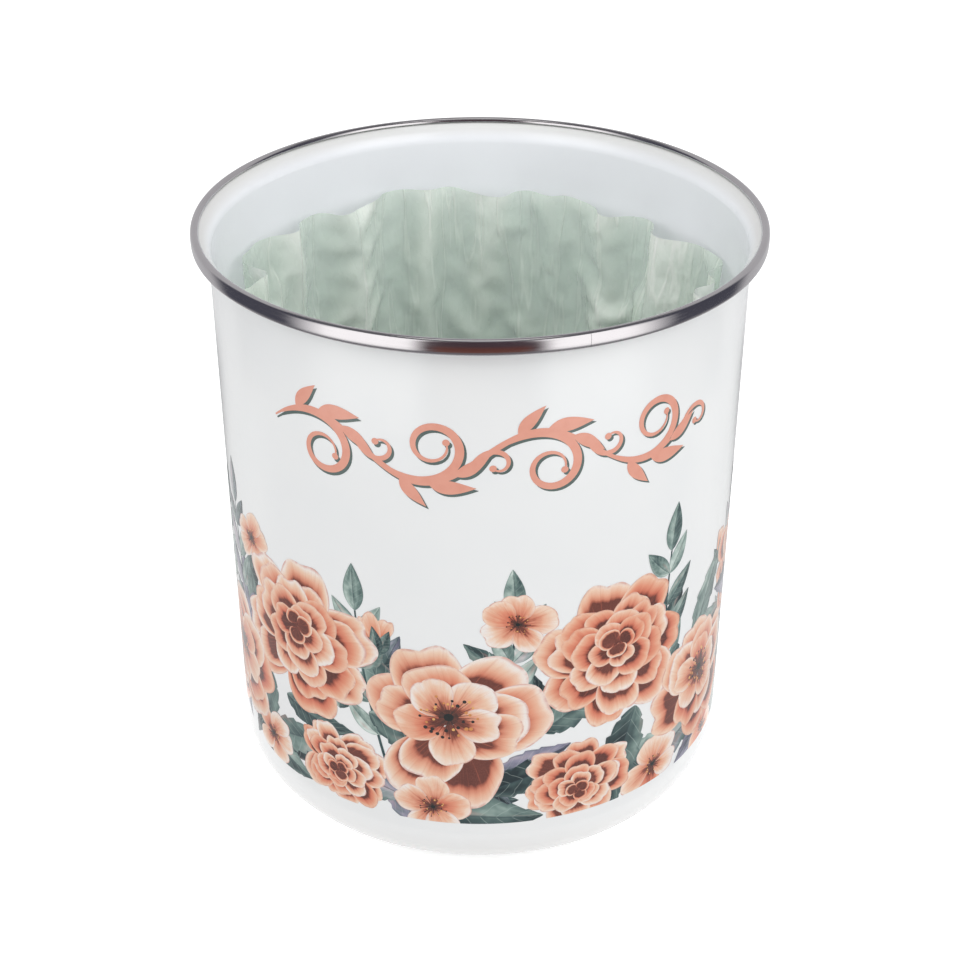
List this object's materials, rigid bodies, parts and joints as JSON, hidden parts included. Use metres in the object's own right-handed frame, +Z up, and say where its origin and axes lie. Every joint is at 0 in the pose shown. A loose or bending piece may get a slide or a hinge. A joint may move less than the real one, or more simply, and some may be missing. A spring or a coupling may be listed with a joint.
{
  "type": "compost caddy",
  "caption": "Open enamelled steel countertop compost caddy with a drafted wall, flared mouth, rolled stainless rim trim and a lift-out compostable film liner.",
  "frame": {"origin": "centre of the base, on the surface that the pail stands on", "axes": "+Z up along the pail's axis; the front of the pail faces -Y; +X is to the right as seen from the front"},
  "size_m": [0.19, 0.19, 0.2095],
  "materials": {
    "enamel": "gloss white vitreous enamel",
    "print": "gloss fired transfer print",
    "rim_steel": "polished stainless",
    "liner_film": "translucent matte film"
  },
  "bodies": {
    "pail": {"pail_shell": "enamel", "rim_trim": "rim_steel"},
    "liner": {"liner_bag": "liner_film"}
  },
  "joints": [
    {"name": "liner_lift", "type": "slide", "parent": "pail", "child": "liner", "axis": [0, 0, 1], "range_m": [0, 0.22]}
  ]
}
